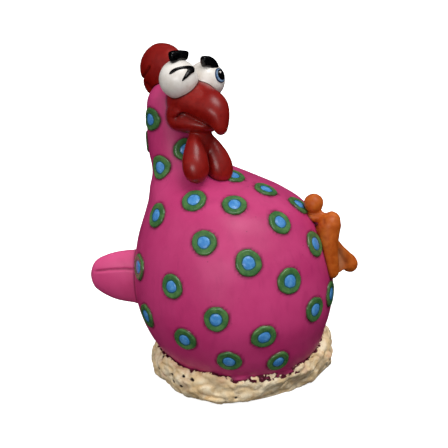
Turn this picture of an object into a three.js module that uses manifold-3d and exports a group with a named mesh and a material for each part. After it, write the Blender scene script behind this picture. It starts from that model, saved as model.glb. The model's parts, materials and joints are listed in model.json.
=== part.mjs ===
// A novelty chicken: a hollow casting of a fat spotted hen that winks, glued into a rough nest,
// with its comb, beak, wattles, eyes, wings and foot cast apart and pegged on, and a rubber
// stopper underneath. Millimetres, +Z up. The hen looks to -Y and a little to +X.
import * as THREE from "three";
import { ConvexGeometry } from "three/addons/geometries/ConvexGeometry.js";
import { RoundedBoxGeometry } from "three/addons/geometries/RoundedBoxGeometry.js";
import { mergeVertices } from "three/addons/utils/BufferGeometryUtils.js";
import Module from "manifold-3d";

const wasm = await Module();
wasm.setup();

// Driving dimensions
const GAP = 0.3; // air between pieces that meet
const PEG_FIT = 0.3; // air around a locating peg
const WALL = 7; // wall of the hollow casting
const BODY_SEGMENTS = 36;
const HEAD_YAW = 40; // degrees that the head turns from -Y towards +X
const NECK = [-33.3, 7];
const EYE_RADIUS = 9.8;
const EYE_SPREAD = 8.75;
const EYE_FORWARD = 16.1;
const EYE_RIGHT_Z = 163.2;
const EYE_LEFT_Z = 161.6;
const SPOT_RADIUS = 6.4;
const SPOT_HEIGHT = 1.1;
const STOPPER_RADIUS = 10.7;
const STOPPER_FLANGE = 13.5;
const STOPPER_LENGTH = 14;
const NEST_CENTRE = [3, 2];
const WING_LENGTH = 80;
const WING_Z = 55.4;

// Stations of the body casting: height, centre x and y, radius along x and y.
const BODY = [
  [5, 2.5, 0, 25, 25],
  [8, 2.2, 0, 32.5, 32.5],
  [13, 1.6, 0, 39, 39],
  [20, 0.9, 0, 44.8, 45],
  [30, -0.4, 0, 49.4, 49.6],
  [42, -1.1, 0, 52.9, 53.2],
  [54, -1.6, 0, 53.8, 53.8],
  [66, -2.1, 0, 53.1, 52.4],
  [78, -2.7, 0, 50.7, 49.8],
  [88, -3.8, 0, 46.8, 45.3],
  [98, -5.9, 0.5, 41.6, 38.9],
  [106, -11.8, 2.3, 34.6, 30],
  [112, -18.9, 4.4, 26.3, 21.8],
  [117, -26.2, 6, 19.4, 17],
  [123, -31.4, 6.8, 15.4, 14.8],
  [132, -33.6, 7, 13.9, 14],
  [142, -33.9, 7, 13.8, 13.8],
  [149, -33.7, 7, 13.7, 13.7],
  [153.6, -33.5, 7, 12.6, 12.6],
  [157.6, -33.4, 7, 10, 10],
  [160.2, -33.3, 7, 6.8, 6.8],
  [161.6, -33.3, 7, 3, 3],
];

// Raised spots: azimuth from -Y towards +X in degrees, and height.
const SPOTS = [
  [-52, 142], [24, 126.5], [-45, 117], [-57, 95.5], [-18, 105], [12, 103.5], [52, 113.5], [59, 107.5],
  [-16, 88], [8, 79], [36, 95.5], [58, 82], [71, 99.5], [32, 68.5], [-67, 67], [-35, 65], [-59, 43],
  [-10, 52], [-29, 38], [15, 42], [48, 50], [-5, 28], [25, 25], [68, 53],
  [115, 88], [150, 104], [195, 96], [238, 88], [128, 64], [165, 76], [210, 70], [250, 50],
  [105, 38], [145, 44], [185, 50], [222, 36], [170, 134], [255, 128],
];

// Colours, roughness and metalness of each finish
const paint = (color, roughness) => new THREE.MeshStandardMaterial({ color, roughness, metalness: 0 });
const PINK = paint(0xd23f7d, 0.5);
const SPOT_GREEN = paint(0x4a7f3e, 0.5);
const RED = paint(0x8e1a14, 0.4);
const WHITE = paint(0xe8e2dc, 0.35);
const BLACK = paint(0x070708, 0.3);
const IRIS_BLUE = paint(0x5f93c8, 0.3);
const ORANGE = paint(0xb9581c, 0.5);
const STRAW = paint(0xd2b488, 0.85);
const RUBBER = paint(0x2b2a2c, 0.8);

const radians = THREE.MathUtils.degToRad;
const vec = (x, y, z) => new THREE.Vector3(x, y, z);

// --- from geometry to solid and back ---

function solid(geometry) {
  const g = (geometry.index ? geometry.toNonIndexed() : geometry.clone());
  g.deleteAttribute("normal");
  g.deleteAttribute("uv");
  const merged = mergeVertices(g, 1e-4);
  return new wasm.Manifold(new wasm.Mesh({
    numProp: 3,
    vertProperties: new Float32Array(merged.attributes.position.array),
    triVerts: new Uint32Array(merged.index.array),
  }));
}

function geometryOf(manifold) {
  const m = manifold.getMesh();
  const g = new THREE.BufferGeometry();
  g.setAttribute("position", new THREE.BufferAttribute(new Float32Array(m.vertProperties), 3));
  g.setIndex(new THREE.BufferAttribute(new Uint32Array(m.triVerts), 1));
  return g;
}

function union(first, ...others) {
  return others.reduce((sum, next) => sum.add(next), first);
}

function cut(first, ...others) {
  return others.reduce((rest, next) => rest.subtract(next), first);
}

// The largest piece of a solid, once a cut has left slivers beside it.
function largest(manifold) {
  return manifold.decompose().sort((a, b) => b.volume() - a.volume())[0];
}

const root = new THREE.Group();

function place(name, manifold, material, parent = root) {
  const mesh = new THREE.Mesh(geometryOf(largest(manifold)), material);
  mesh.name = name;
  parent.add(mesh);
  return mesh;
}

// --- shape makers ---

// A closed skin over rings of points, all of one length, with a pole at each end.
// Rings run anticlockwise when seen from the last pole.
function skin(rings, firstPole, lastPole) {
  const count = rings[0].length;
  const points = [firstPole, ...rings.flat(), lastPole];
  const faces = [];
  const at = (ring, i) => 1 + ring * count + (i % count);
  for (let i = 0; i < count; i++) {
    faces.push(0, at(0, i + 1), at(0, i));
    faces.push(points.length - 1, at(rings.length - 1, i), at(rings.length - 1, i + 1));
    for (let r = 0; r + 1 < rings.length; r++) {
      faces.push(at(r, i), at(r, i + 1), at(r + 1, i));
      faces.push(at(r + 1, i), at(r, i + 1), at(r + 1, i + 1));
    }
  }
  const g = new THREE.BufferGeometry().setFromPoints(points);
  g.setIndex(faces);
  return g;
}

// A soft limb: elliptical sections square to a curve through the stations.
// A station is { at: point, wide: radius along side, high: radius across it }.
function limb(stations, side, { segments = 14, steps = 3 * stations.length, grow = 0 } = {}) {
  const spine = new THREE.CatmullRomCurve3(stations.map((s) => s.at), false, "centripetal");
  const last = stations.length - 1;
  const rings = [];
  for (let k = 0; k <= steps; k++) {
    const u = k / steps;
    const i = Math.min(last - 1, Math.floor(u * last));
    const mix = THREE.MathUtils.smoothstep(u * last - i, -0.25, 1.25);
    const wide = grow + THREE.MathUtils.lerp(stations[i].wide, stations[i + 1].wide, mix);
    const high = grow + THREE.MathUtils.lerp(stations[i].high, stations[i + 1].high, mix);
    const centre = spine.getPoint(u);
    const ahead = spine.getTangent(u);
    const up = ahead.clone().cross(side).normalize();
    rings.push(Array.from({ length: segments }, (_, j) => {
      const a = (2 * Math.PI * j) / segments;
      return centre.clone()
        .addScaledVector(side, wide * Math.cos(a))
        .addScaledVector(up, high * Math.sin(a));
    }));
  }
  const cap = (u, sign, r) => spine.getPoint(u).addScaledVector(spine.getTangent(u), sign * r * 0.5);
  return solid(skin(rings, cap(0, -1, stations[0].high + grow), cap(1, 1, stations[last].high + grow)));
}

function ball(centre, radius, [sx, sy, sz] = [1, 1, 1], detail = 16) {
  const g = new THREE.SphereGeometry(radius, detail, Math.round(detail * 0.6));
  g.scale(sx, sy, sz).translate(centre.x, centre.y, centre.z);
  return solid(g);
}

// A round bar from one point to another.
function bar(from, to, radius, endRadius = radius, segments = 16) {
  const along = to.clone().sub(from);
  const g = new THREE.CylinderGeometry(endRadius, radius, along.length(), segments);
  g.translate(0, along.length() / 2, 0);
  g.applyQuaternion(new THREE.Quaternion().setFromUnitVectors(vec(0, 1, 0), along.normalize()));
  g.translate(from.x, from.y, from.z);
  return solid(g);
}

// --- body casting ---

// One column of BODY at a height, by a cubic through its neighbours.
function column(z, k) {
  let i = BODY.findIndex((s) => s[0] > z) - 1;
  if (i < 0) i = z < BODY[0][0] ? 0 : BODY.length - 2;
  const slope = (n) => {
    const a = BODY[Math.max(n - 1, 0)];
    const b = BODY[Math.min(n + 1, BODY.length - 1)];
    return (b[k] - a[k]) / (b[0] - a[0]);
  };
  const [lo, hi] = [BODY[i], BODY[i + 1]];
  const span = hi[0] - lo[0];
  const t = (z - lo[0]) / span;
  return (2 * t ** 3 - 3 * t ** 2 + 1) * lo[k] + (t ** 3 - 2 * t ** 2 + t) * span * slope(i)
    + (3 * t ** 2 - 2 * t ** 3) * hi[k] + (t ** 3 - t ** 2) * span * slope(i + 1);
}

function bodyPoint(azimuth, z, grow = 0) {
  return vec(
    column(z, 1) + (column(z, 3) + grow) * Math.sin(azimuth),
    column(z, 2) - (column(z, 4) + grow) * Math.cos(azimuth),
    z,
  );
}

function bodyNormal(azimuth, z) {
  const around = bodyPoint(azimuth + 0.01, z).sub(bodyPoint(azimuth - 0.01, z));
  const upward = bodyPoint(azimuth, z + 0.5).sub(bodyPoint(azimuth, z - 0.5));
  return around.cross(upward).normalize();
}

// How far outside the body's skin a point is: 0 on it, negative inside.
function outside(p) {
  const x = (p.x - column(p.z, 1)) / column(p.z, 3);
  const y = (p.y - column(p.z, 2)) / column(p.z, 4);
  return (Math.hypot(x, y) - 1) * column(p.z, 3);
}

// The skin's point along a direction through p.
function dropOnto(p, along) {
  let [near, far] = [-8, 8];
  for (let k = 0; k < 24; k++) {
    const middle = (near + far) / 2;
    if (outside(p.clone().addScaledVector(along, middle)) < 0) near = middle;
    else far = middle;
  }
  return p.clone().addScaledVector(along, near);
}

// The heights between two of BODY's stations that carry a ring: long spans have one more.
function bodyLevels(from, to) {
  const levels = BODY.flatMap(([z], i) => {
    const next = BODY[i + 1];
    return next && next[0] - z > 4.5 ? [z, (z + next[0]) / 2] : [z];
  });
  return [from, ...levels.filter((z) => z > from + 1 && z < to - 1), to];
}

function bodySkin(grow, levels, segments) {
  const rings = levels.map((z) => Array.from({ length: segments }, (_, j) =>
    bodyPoint(Math.PI / 2 + (2 * Math.PI * j) / segments, z, grow)));
  const pole = (z, off) => vec(column(z, 1), column(z, 2), z + off);
  const [from, to] = [levels[0], levels[levels.length - 1]];
  return solid(skin(rings, pole(from, -Math.max(grow, 0) - 0.01), pole(to, Math.max(grow, 0) + 0.4)));
}

const [bodyFoot, bodyTop] = [BODY[0][0], BODY[BODY.length - 1][0]];
const bodyOuter = bodySkin(0, bodyLevels(bodyFoot, bodyTop), BODY_SEGMENTS);
const bodyGrown = bodySkin(GAP, bodyLevels(bodyFoot, bodyTop), BODY_SEGMENTS);
const cavityLevels = [12, 16, 24, 34, 46, 58, 70, 82, 92, 99, 104];
const cavity = bodySkin(-WALL, cavityLevels, 22);
const hubX = NEST_CENTRE[0];
const stopperHole = bar(vec(hubX, 0, -1), vec(hubX, 0, bodyFoot + WALL + 6), STOPPER_RADIUS + GAP, undefined, 32);

// --- spots ---

// A raised disc that follows the skin: its rim stands up and its middle is a low button.
function spot(azimuth, z, grow = 0) {
  const centre = bodyPoint(azimuth, z);
  const normal = bodyNormal(azimuth, z);
  const level = vec(0, 0, 1).cross(normal).normalize();
  const steep = normal.clone().cross(level);
  const segments = 14;
  const ring = (radius, height) => Array.from({ length: segments }, (_, j) => {
    const a = (2 * Math.PI * j) / segments;
    const p = centre.clone()
      .addScaledVector(level, (radius + grow) * Math.cos(a))
      .addScaledVector(steep, (radius + grow) * Math.sin(a));
    return dropOnto(p, normal).addScaledVector(normal, height);
  });
  const rings = [ring(SPOT_RADIUS - 0.3, GAP - grow), ring(SPOT_RADIUS, 0.7), ring(SPOT_RADIUS - 0.8, SPOT_HEIGHT + grow)];
  return solid(skin(rings, centre.clone().addScaledVector(normal, GAP - grow),
    centre.clone().addScaledVector(normal, SPOT_HEIGHT + 0.4 + grow)));
}

const spotName = (i) => "spot_" + String(i + 1).padStart(2, "0");
SPOTS.forEach(([azimuth, z], i) => place(spotName(i), cut(spot(radians(azimuth), z), bodyGrown), SPOT_GREEN));
const spotsGrown = union(...SPOTS.map(([azimuth, z]) => spot(radians(azimuth), z, GAP)));

// --- head frame: x to the hen's left, -y ahead, z up ---

const head = new THREE.Group();
head.position.set(NECK[0], NECK[1], 0);
head.rotation.z = radians(HEAD_YAW);
head.updateMatrix();
root.add(head);
const intoHead = head.matrix.clone().invert();
const bodyInHead = bodyGrown.add(spotsGrown).transform(intoHead.toArray());
const AHEAD_SIDE = vec(1, 0, 0);

const eyeRight = vec(-EYE_SPREAD, -EYE_FORWARD, EYE_RIGHT_Z);
const eyeLeft = vec(EYE_SPREAD, -EYE_FORWARD, EYE_LEFT_Z);
const eyePeg = (sign, grow) =>
  bar(vec(sign * 6, -13, 159.5), vec(sign * 3.4, -4 + grow, 154.5), 1.8 + grow);
const socketOf = (centre) => ball(centre, EYE_RADIUS + GAP, undefined, 28);
const eyesGrown = union(socketOf(eyeRight), socketOf(eyeLeft), eyePeg(-1, GAP), eyePeg(1, GAP));

// The eyeballs meet on the head's middle plane, where each is cut flat, and a peg holds each one.
function eyeball(centre, sign) {
  const far = 40;
  const plane = new THREE.BoxGeometry(far, 2 * far, 2 * far);
  plane.translate(-sign * (far / 2 - GAP / 2), centre.y, centre.z);
  return union(cut(ball(centre, EYE_RADIUS, undefined, 28), solid(plane), bodyInHead), eyePeg(sign, 0));
}

// Azimuth and height angle on an eyeball, from straight ahead.
function onEye(centre, azimuth, height, radius) {
  const [a, h] = [radians(azimuth), radians(height)];
  return vec(Math.sin(a) * Math.cos(h), -Math.cos(a) * Math.cos(h), Math.sin(h))
    .multiplyScalar(radius).add(centre);
}

// A brow is a rounded bar on top of its eyeball, leaning down at its outer end.
function brow(eye, width, lean, offset) {
  const g = new RoundedBoxGeometry(width, 4.4, 5.4, 2, 1.6);
  g.rotateY(radians(lean));
  g.translate(...eye.clone().add(offset).toArray());
  return cut(solid(g), eyesGrown);
}

// The wink: an upper stroke that turns back under itself at its outer corner.
function winkMark() {
  const stroke = (angles) => limb(
    angles.map(([a, h]) => ({ at: onEye(eyeRight, a, h, EYE_RADIUS + 0.55), wide: 0.85, high: 0.75 })),
    onEye(vec(0, 0, 0), -20, 30, 1).normalize(), { segments: 8, steps: 8 });
  const upper = stroke([[-66, 22], [-48, 36], [-17, 41], [26, 34]]);
  const lower = stroke([[27, 33], [4, 29], [-14, 22], [-28, 6]]);
  return cut(union(upper, lower), socketOf(eyeRight));
}

// A cap of a sphere round the eyeball, from one angle off its axis to another.
function eyeCap(fromAngle, toAngle, thick) {
  const [inner, outer] = [EYE_RADIUS + GAP, EYE_RADIUS + GAP + thick];
  const arc = (r, a) => new THREE.Vector2(Math.max(r * Math.sin(radians(a)), 0), r * Math.cos(radians(a)));
  const angles = [0, 1, 2, 3].map((k) => fromAngle + ((toAngle - fromAngle) * k) / 3);
  const profile = [...angles.map((a) => arc(inner, a)), ...angles.reverse().map((a) => arc(outer, a))];
  if (fromAngle > 0) profile.push(profile[0].clone());
  const g = new THREE.LatheGeometry(profile, 24);
  const axis = onEye(vec(0, 0, 0), 16, 18.5, 1).normalize();
  g.applyQuaternion(new THREE.Quaternion().setFromUnitVectors(vec(0, 1, 0), axis));
  g.translate(eyeLeft.x, eyeLeft.y, eyeLeft.z);
  const made = solid(g);
  return made.volume() < 0 ? solid(turned(g)) : made;
}

// The same faces, turned round.
function turned(geometry) {
  const g = geometry.index ? geometry.toNonIndexed() : geometry.clone();
  const p = g.attributes.position;
  for (let i = 0; i < p.count; i += 3) {
    const [x, y, z] = [p.getX(i), p.getY(i), p.getZ(i)];
    p.setXYZ(i, p.getX(i + 1), p.getY(i + 1), p.getZ(i + 1));
    p.setXYZ(i + 1, x, y, z);
  }
  return g;
}

// Beak stations: [ahead, height, half width, half height].
const UPPER_BEAK = [
  [8.5, 151, 10.6, 9.2], [15, 152.7, 12, 9.3], [22, 153.2, 11.8, 9.1], [28.5, 151.4, 10.1, 8.7],
  [33.8, 148.2, 7.8, 7.2], [36.9, 144.6, 5.6, 5.4], [37.8, 141, 3.7, 3.8], [37, 138.4, 2, 2.2],
];
const LOWER_BEAK = [
  [8, 142.6, 10, 6], [14, 142.2, 11.4, 6.6], [21, 142, 10.8, 6.4], [27, 141.6, 8.8, 5], [32, 141, 5.4, 3.6],
  [34.6, 140.6, 2.8, 2.2],
];
const WATTLE = [
  [21, 138, 1.8, 2], [23, 134, 3.4, 3.6], [26, 127.8, 5.8, 5.6], [28.4, 121.6, 7, 6.4], [29.6, 116.8, 6.4, 5.8],
  [29.8, 113.4, 3.6, 3.4],
];

function beak(stations, grow = 0) {
  return limb(stations.map(([ahead, z, wide, high]) => ({ at: vec(0, -ahead, z), wide, high })),
    AHEAD_SIDE, { segments: 18, steps: 16, grow });
}

// Each wattle swings out to its own side as it hangs, and the left one hangs lower.
function wattle(sign) {
  const reach = [0.3, 0.5, 0.8, 1, 1.04, 1.02];
  const [swing, drop] = sign > 0 ? [7.2, 2] : [8.2, 0];
  return limb(WATTLE.map(([ahead, z, wide, high], i) =>
    ({ at: vec(sign * swing * reach[i], -ahead, z - drop * reach[i]), wide, high })),
    AHEAD_SIDE, { segments: 14, steps: 12 });
}

function comb() {
  const crown = ball(vec(0, 9.1, 166.2), 13.2, [0.76, 1.16, 1], 24);
  const nape = ball(vec(0, 14, 159.2), 6.7, [1.1, 1, 1.08], 18);
  return union(crown, nape);
}

const upperBeak = union(cut(beak(UPPER_BEAK), eyesGrown, bodyInHead), bar(vec(0, -16, 152), vec(0, -7.5, 152), 3));
const upperBeakGrown = beak(UPPER_BEAK, GAP);
const lowerBeak = union(
  cut(beak(LOWER_BEAK), upperBeakGrown, bodyInHead), bar(vec(0, -16, 139.6), vec(0, -7.5, 139.6), 2));
const lowerBeakGrown = beak(LOWER_BEAK, GAP);
const combPeg = bar(vec(0, 3, 166), vec(0, 3, 153.5), 2.5);
const combSolid = union(cut(comb(), bodyInHead, eyesGrown), combPeg);

const wattleOf = (sign) => {
  const half = new THREE.BoxGeometry(30, 60, 60);
  half.translate(-sign * (15 - GAP / 2), -25, 125);
  return cut(wattle(sign), solid(half), lowerBeakGrown, upperBeakGrown, bodyInHead);
};

place("eyeball_right", eyeball(eyeRight, -1), WHITE, head);
place("eyeball_left", eyeball(eyeLeft, 1), WHITE, head);
place("eyebrow_right", brow(eyeRight, 10, 4, vec(-1.1, -1.6, 11.6)), BLACK, head);
place("eyebrow_left", brow(eyeLeft, 8.6, 14, vec(-1.8, -5.2, 8.4)), BLACK, head);
place("wink_mark", winkMark(), BLACK, head);
place("iris", eyeCap(17.6, 22.8, 0.5), IRIS_BLUE, head);
place("pupil", eyeCap(0, 15.8, 0.5), BLACK, head);
place("comb", combSolid, RED, head);
place("beak_upper", upperBeak, RED, head);
place("beak_lower", lowerBeak, RED, head);
place("wattle_right", wattleOf(-1), RED, head);
place("wattle_left", wattleOf(1), RED, head);

// --- wings: a paddle that stands out from the body, pegged to it ---

function wingFrame(azimuth) {
  const group = new THREE.Group();
  group.rotation.z = azimuth;
  group.updateMatrix();
  return group;
}

// The wing in its own frame, pointing along -y.
function wing() {
  const stations = [[46, 6.5, 14.6], [58, 6.8, 14.7], [66, 6.4, 13.5], [73, 5.4, 11], [78, 4, 7.6], [WING_LENGTH - 1, 2, 3.4]];
  return limb(stations.map(([out, wide, high]) => ({ at: vec(0, -out, WING_Z), wide, high })), AHEAD_SIDE,
    { segments: 18 });
}

const wingPeg = (grow) => bar(vec(0, -58, WING_Z), vec(0, -49.5 + grow, WING_Z), 4 + grow);
const wingSockets = [];
for (const [name, azimuth] of [["wing_right", radians(-92)], ["wing_left", radians(172)]]) {
  const frame = wingFrame(azimuth);
  root.add(frame);
  const inFrame = bodyGrown.transform(frame.matrix.clone().invert().toArray());
  place(name, union(cut(wing(), inFrame), wingPeg(0)), PINK, frame);
  wingSockets.push(wingPeg(PEG_FIT).transform(frame.matrix.toArray()));
}

// --- foot: a hind toe, a heel and two webbed toes, held off the flank by an ankle peg ---

const toe = (stations, side, options) =>
  limb(stations.map(([x, y, z, r]) => ({ at: vec(x, y, z), wide: r, high: r })), side, options);

const HIND_TOE = vec(39.9, -12, 99.7);
const ankleFrom = vec(47.6, -14, 84);
const ankleTo = vec(38, -10.4, 84);

function foot() {
  const across = vec(0, 1, 0);
  const long = toe([
    [48.4, -15, 93.4, 4.2], [47.6, -15.6, 90.2, 5.9], [47.5, -16.4, 85.7, 5.5], [47.3, -17, 80.2, 5.1],
    [48, -17, 74.4, 4.6], [49.4, -16.4, 67, 4.1], [50.2, -16, 61.6, 3.2],
  ], across, { segments: 12 });
  const short = toe([
    [50.6, -14, 79, 2.6], [54.4, -10.6, 74, 2.8], [58.4, -7, 68.8, 3.6], [60.6, -5.2, 65, 4.4], [61.4, -4.6, 63, 3.2],
  ], across, { segments: 12 });
  const webCorners = [[50, -14, 78], [51, -15.4, 61.6], [60, -6, 62.6]];
  const webPoints = webCorners.flatMap(([x, y, z]) =>
    [[1, 0, 0], [-1, 0, 0], [0, 1, 0], [0, -1, 0], [0, 0, 1], [0, 0, -1]].map(([i, j, k]) =>
      vec(x + i, y + j, z + k)));
  const stalk = toe([[40.8, -12.4, 97, 2], [42.6, -13.2, 94.6, 1.9], [46, -14.6, 92, 3]], across, { segments: 10 });
  return union(long, short, solid(new ConvexGeometry(webPoints)), stalk, ball(HIND_TOE, 4.8));
}

place("foot", union(cut(foot(), bodyGrown, spotsGrown), bar(ankleFrom, ankleTo, 2.4)), ORANGE);
const ankleSocket = bar(ankleFrom, ankleTo.clone().add(vec(-0.5, 0, 0)), 2.4 + PEG_FIT);

// --- nest ---

// A rough edge: slow waves round the nest with no repeat.
const ripple = (a, ...waves) =>
  waves.reduce((sum, [turns, size, phase]) => sum + size * Math.sin(turns * a + phase), 0);

// Radius of the nest by direction: flattened ahead of the hen, widest at her sides.
const nestReach = (a) => 48.2 + 1.1 * Math.cos(a) + 1.5 * Math.cos(2 * a) + 3.4 * Math.sin(2 * a);

function nest() {
  const segments = 56;
  const rows = [[-4.4, 0], [-1.2, 2.6], [0.3, 6], [-0.2, 10.5], [-1.6, 14.6], [-5.6, 17.4], [-15, 14]];
  const rings = rows.map(([off, z], row) => Array.from({ length: segments }, (_, j) => {
    const a = (2 * Math.PI * j) / segments;
    const lumps = row === 0 ? 0.35 : 1;
    const r = nestReach(a) + off
      + lumps * ripple(a, [3, 0.6, 1], [7, 0.6, 2 + row], [13, 0.5, row * 1.7], [19, 0.35, row]);
    const lift = 1 + 0.3 * Math.cos(a) ** 2;
    const height = z === 0 ? 0 : z * lift + 0.8 * Math.sin(11 * a + row) * (z > 10);
    return vec(NEST_CENTRE[0] + r * Math.cos(a), NEST_CENTRE[1] + r * Math.sin(a), height);
  }));
  return solid(skin(rings, vec(...NEST_CENTRE, 0), vec(...NEST_CENTRE, 12)));
}

const counterbore = bar(vec(hubX, 0, -1), vec(hubX, 0, 2.6), STOPPER_FLANGE + GAP, undefined, 32);

function stopper() {
  const flange = bar(vec(hubX, 0, 0.6), vec(hubX, 0, 2.3), STOPPER_FLANGE, undefined, 32);
  const plug = bar(vec(hubX, 0, 2), vec(hubX, 0, STOPPER_LENGTH), STOPPER_RADIUS, STOPPER_RADIUS - 0.8, 32);
  const hollow = bar(vec(hubX, 0, 5), vec(hubX, 0, STOPPER_LENGTH + 1), 7.5, undefined, 24);
  const pull = bar(vec(hubX, 0, 0), vec(hubX, 0, 1.5), 4, undefined, 24);
  return cut(union(flange, plug), hollow, pull);
}

place("nest_base", cut(nest(), bodyGrown, spotsGrown, stopperHole, counterbore), STRAW);
place("stopper", stopper(), RUBBER);

const headSockets = [
  eyePeg(-1, PEG_FIT),
  eyePeg(1, PEG_FIT),
  bar(vec(0, -16, 152), vec(0, -7, 152), 3 + PEG_FIT),
  bar(vec(0, -16, 139.6), vec(0, -7, 139.6), 2 + PEG_FIT),
  bar(vec(0, 3, 166), vec(0, 3, 153), 2.5 + PEG_FIT),
].map((socket) => socket.transform(head.matrix.toArray()));
place("body_shell", cut(bodyOuter, cavity, stopperHole, ...wingSockets, ankleSocket, ...headSockets), PINK);

// The origin goes on the floor, under the middle of the whole object.
root.updateMatrixWorld(true);
const bounds = new THREE.Box3().setFromObject(root, true);
const middle = bounds.getCenter(new THREE.Vector3());
root.position.set(-middle.x, -middle.y, -bounds.min.z);

const chicken = new THREE.Group();
chicken.add(root);
export default chicken;
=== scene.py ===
import json
import math

import bpy
import numpy as np
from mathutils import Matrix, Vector, noise
from mathutils.bvhtree import BVHTree

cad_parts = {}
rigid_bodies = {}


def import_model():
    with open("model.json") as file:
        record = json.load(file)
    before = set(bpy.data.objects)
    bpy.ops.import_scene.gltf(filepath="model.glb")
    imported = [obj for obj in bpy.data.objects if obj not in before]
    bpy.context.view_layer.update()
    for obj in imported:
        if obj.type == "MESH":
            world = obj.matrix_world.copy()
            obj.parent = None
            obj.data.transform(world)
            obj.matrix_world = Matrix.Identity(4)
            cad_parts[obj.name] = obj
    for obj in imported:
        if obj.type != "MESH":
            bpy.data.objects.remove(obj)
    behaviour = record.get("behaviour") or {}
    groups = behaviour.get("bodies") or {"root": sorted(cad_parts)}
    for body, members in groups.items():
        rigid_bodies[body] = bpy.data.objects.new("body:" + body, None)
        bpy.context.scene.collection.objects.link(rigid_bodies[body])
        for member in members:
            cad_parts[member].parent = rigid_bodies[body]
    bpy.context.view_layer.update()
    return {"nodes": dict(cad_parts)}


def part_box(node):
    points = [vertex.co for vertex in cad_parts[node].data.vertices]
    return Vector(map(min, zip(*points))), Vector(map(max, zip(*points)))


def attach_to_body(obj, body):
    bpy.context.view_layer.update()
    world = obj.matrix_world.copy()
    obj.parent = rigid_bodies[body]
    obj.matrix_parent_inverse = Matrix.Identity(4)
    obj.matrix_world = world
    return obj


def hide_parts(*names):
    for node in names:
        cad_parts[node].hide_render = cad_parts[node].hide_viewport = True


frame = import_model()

# A glossy painted casting of a spotted hen that winks, pressed into a nest of rough clay.
# Shapes are worked out in millimetres, in small frames that hang on the CAD nodes.
MM = 0.001
WALL = 7.0  # wall of the hollow body
HOLLOW_TOP = 103
BODY_COUNT = 224  # points round each ring of the body
SPOT_COUNT = 60  # the same for the other round pieces
EYE_DISC_COUNT = 64
STOPPER_COUNT = 96
PIT_COUNT = 44  # air holes in the nest
FLOOR_HALF = 30000  # half the floor's side
FLOOR_DROP = 0.1  # gap under the nest, so that the two never share a plane
CAMERA_PLACE = (0.001, -0.4354, 0.204)  # metres
LOOK_DOWN = 15.7  # degrees below level
LENS = 65.7
SENSOR = 36

for leftover in [o for o in bpy.data.objects if o.name in ("Cube", "Camera", "Light")]:
    bpy.data.objects.remove(leftover)


# --- arrays, meshes and objects ---

def node_mesh(name):
    """A CAD node's vertices, in mm, and its faces."""
    mesh = frame["nodes"][name].data
    points = np.empty(len(mesh.vertices) * 3)
    mesh.vertices.foreach_get("co", points)
    return points.reshape(-1, 3) / MM, [tuple(p.vertices) for p in mesh.polygons]


def make_object(name, points, faces):
    """A smooth-shaded object from points in mm."""
    mesh = bpy.data.meshes.new(name)
    mesh.from_pydata((np.asarray(points) * MM).tolist(), [], [tuple(f) for f in faces])
    mesh.validate()
    obj = bpy.data.objects.new(name, mesh)
    bpy.context.scene.collection.objects.link(obj)
    shade_smooth(obj)
    return obj


def shade_smooth(obj):
    obj.data.polygons.foreach_set("use_smooth", [True] * len(obj.data.polygons))


def read_points(obj):
    """An object's vertices and vertex normals, in mm."""
    mesh = obj.data
    points = np.empty(len(mesh.vertices) * 3)
    normals = np.empty(len(mesh.vertices) * 3)
    mesh.vertices.foreach_get("co", points)
    mesh.vertices.foreach_get("normal", normals)
    return points.reshape(-1, 3) / MM, normals.reshape(-1, 3)


def write_points(obj, points):
    obj.data.vertices.foreach_set("co", (points * MM).ravel())
    obj.data.update()


def store(obj, name, values):
    """Keeps a number per vertex for the materials, over what is there already."""
    layer = obj.data.attributes.get(name) or obj.data.attributes.new(name, "FLOAT", "POINT")
    old = np.zeros(len(obj.data.vertices))
    layer.data.foreach_get("value", old)
    layer.data.foreach_set("value", np.clip(np.maximum(old, values), 0, 1))


def tree_of(*objects):
    """A search tree over the faces of some objects, in metres."""
    points, faces = [], []
    for obj in objects:
        first = len(points)
        points += [v.co.copy() for v in obj.data.vertices]
        faces += [[first + i for i in p.vertices] for p in obj.data.polygons]
    return BVHTree.FromPolygons(points, faces)


def attach(obj, material, slot, *nodes, body="chicken"):
    """Gives a finished piece its material and its body, and hides the CAD nodes it stands for."""
    obj.data.materials.clear()
    obj.data.materials.append(material)
    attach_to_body(obj, body)
    if nodes:
        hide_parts(*nodes)


def unit(v):
    """A vector, or each row of an array, at length 1."""
    v = np.asarray(v, float)
    return v / np.linalg.norm(v, axis=-1, keepdims=True)


def hump(distance, reach):
    """1 at no distance, fading to 0 a little beyond reach."""
    return np.exp(-(distance / reach) ** 2)


def step(lo, hi, value):
    """0 at lo and 1 at hi, with a smooth rise between them. lo may be the larger."""
    t = np.clip((value - lo) / (hi - lo), 0, 1)
    return t * t * (3 - 2 * t)


def hermite(stations, values, at):
    """A smooth curve through values at rising stations. values has one row per station."""
    stations, values = np.asarray(stations, float), np.asarray(values, float)
    slopes = np.gradient(values, axis=0) / np.gradient(stations)[:, None]
    i = np.clip(np.searchsorted(stations, at, side="right") - 1, 0, len(stations) - 2)
    span = (stations[i + 1] - stations[i])[:, None]
    t = ((at - stations[i])[:, None]) / span
    return (
        (2 * t**3 - 3 * t**2 + 1) * values[i]
        + (t**3 - 2 * t**2 + t) * span * slopes[i]
        + (3 * t**2 - 2 * t**3) * values[i + 1]
        + (t**3 - t**2) * span * slopes[i + 1]
    )


def circle(count):
    """Directions round a level circle."""
    turn = np.linspace(0, 2 * math.pi, count, endpoint=False)
    return np.stack([np.cos(turn), np.sin(turn), np.zeros(count)], axis=1)


def wave(points, scale, seed):
    """Smooth noise between -1 and 1 at points, whose lumps are about scale mm across."""
    shift = Vector((seed * 17.3, seed * 5.1, seed * 9.7))
    return np.array([noise.noise(Vector(p) / scale + shift) for p in points])


# --- closed shapes, as points and faces ---

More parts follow.
